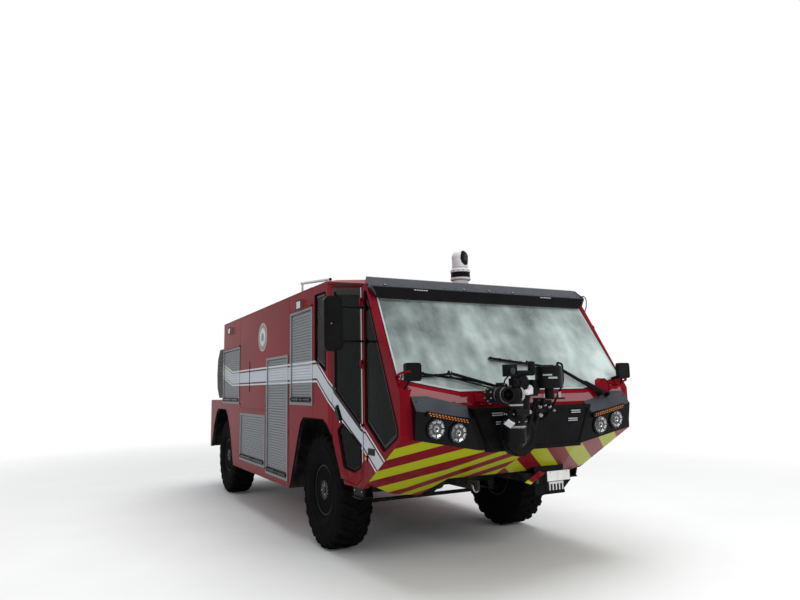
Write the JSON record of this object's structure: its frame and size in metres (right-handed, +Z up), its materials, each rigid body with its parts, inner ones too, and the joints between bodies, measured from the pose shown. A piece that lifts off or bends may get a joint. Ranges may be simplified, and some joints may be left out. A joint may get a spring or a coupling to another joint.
{
  "type": "airport fire truck",
  "caption": "Four-wheel-drive airport fire truck with a faceted cab, bumper turret, roller shutter lockers, opening doors, steered wheels and a roof camera.",
  "frame": {"origin": "on the ground, on the centre line, under the middle of the length", "axes": "+X forward, +Y to the vehicle's left, +Z up"},
  "size_m": [8.525, 3.517, 3.4943],
  "materials": {
    "body_red": "glossy deep red paint",
    "chevron": "reflective yellow-green and red diagonal stripes",
    "black_moulding": "satin black",
    "turret_black": "semi-gloss black paint",
    "frame_black": "satin black chassis paint",
    "engine_grey": "painted casting",
    "aluminium": "satin anodised",
    "glass": "clear, slightly green",
    "lamp": "clear lens over bright reflector",
    "camera_white": "white with a black ring",
    "seat_fabric": "dark woven cover",
    "cabin_plastic": "matt textured",
    "tyre": "black rubber",
    "wheel_black": "satin black"
  },
  "bodies": {
    "body": {"body_front": "body_red", "body_tank": "body_red", "body_rear": "body_red", "rear_deck": "body_red", "cab_shell": "body_red", "hood": "body_red", "chevron_panel": "chevron", "light_panels": "black_moulding", "bumper_box": "black_moulding", "visor": "black_moulding", "intake_housing": "black_moulding", "mirrors": "black_moulding", "wipers": "black_moulding", "fittings": "black_moulding", "turret_base": "turret_black", "chassis": "frame_black", "front_axle": "frame_black", "rear_axle": "frame_black", "driveline": "frame_black", "engine_block": "engine_grey", "roller_shutters": "aluminium", "roof_fittings": "aluminium", "glazing": "glass", "lamps": "lamp", "seats": "seat_fabric", "dashboard": "cabin_plastic", "cab_floor": "cabin_plastic"},
    "door_left": {"door_left": "body_red", "door_glass_left": "glass"},
    "door_right": {"door_right": "body_red", "door_glass_right": "glass"},
    "turret_pan": {"turret_pan": "turret_black"},
    "turret_tilt": {"turret_tilt": "turret_black"},
    "camera": {"camera_head": "camera_white"},
    "knuckle_left": {"knuckle_left": "frame_black"},
    "knuckle_right": {"knuckle_right": "frame_black"},
    "track_rod": {"track_rod": "frame_black"},
    "wheel_front_left": {"tyre_front_left": "tyre", "wheel_front_left": "wheel_black"},
    "wheel_front_right": {"tyre_front_right": "tyre", "wheel_front_right": "wheel_black"},
    "wheel_rear_left": {"tyre_rear_left": "tyre", "wheel_rear_left": "wheel_black"},
    "wheel_rear_right": {"tyre_rear_right": "tyre", "wheel_rear_right": "wheel_black"}
  },
  "joints": [
    {"name": "door_left_hinge", "type": "hinge", "parent": "body", "child": "door_left", "pos_m": [2.9085, 1.47051, 1.5], "axis": [0, 0, -1], "range_deg": [0, 75]},
    {"name": "door_right_hinge", "type": "hinge", "parent": "body", "child": "door_right", "pos_m": [2.9085, -1.47051, 1.5], "axis": [0, 0, 1], "range_deg": [0, 75]},
    {"name": "turret_pan", "type": "hinge", "parent": "body", "child": "turret_pan", "pos_m": [4.0725, -0.42, 1.56], "axis": [0, 0, 1], "range_deg": [-90, 90]},
    {"name": "turret_tilt", "type": "hinge", "parent": "turret_pan", "child": "turret_tilt", "pos_m": [4.0725, -0.635, 1.765], "axis": [0, -1, 0], "range_deg": [-15, 75]},
    {"name": "camera_pan", "type": "hinge", "parent": "body", "child": "camera", "pos_m": [2.5875, 0, 3.11], "axis": [0, 0, 1], "range_deg": [-170, 170]},
    {"name": "steer_left", "type": "hinge", "parent": "body", "child": "knuckle_left", "pos_m": [1.6325, 1.03, 0.667], "axis": [0, 0, 1], "range_deg": [-30, 30]},
    {"name": "steer_right", "type": "hinge", "parent": "body", "child": "knuckle_right", "pos_m": [1.6325, -1.03, 0.667], "axis": [0, 0, 1], "range_deg": [-30, 30]},
    {"name": "track_rod_slide", "type": "slide", "parent": "body", "child": "track_rod", "axis": [0, 1, 0], "range_m": [-0.12, 0.12]},
    {"name": "spin_front_left", "type": "hinge", "parent": "knuckle_left", "child": "wheel_front_left", "pos_m": [1.6325, 1.24, 0.667], "axis": [0, 1, 0], "continuous": true},
    {"name": "spin_front_right", "type": "hinge", "parent": "knuckle_right", "child": "wheel_front_right", "pos_m": [1.6325, -1.24, 0.667], "axis": [0, 1, 0], "continuous": true},
    {"name": "spin_rear_left", "type": "hinge", "parent": "body", "child": "wheel_rear_left", "pos_m": [-3.2775, 1.24, 0.667], "axis": [0, 1, 0], "continuous": true},
    {"name": "spin_rear_right", "type": "hinge", "parent": "body", "child": "wheel_rear_right", "pos_m": [-3.2775, -1.24, 0.667], "axis": [0, 1, 0], "continuous": true}
  ],
  "couplings": [
    {"joint": "steer_right", "follows": "steer_left", "ratio": 1},
    {"joint": "track_rod_slide", "follows": "steer_left", "m_per_rad": -0.2196}
  ]
}
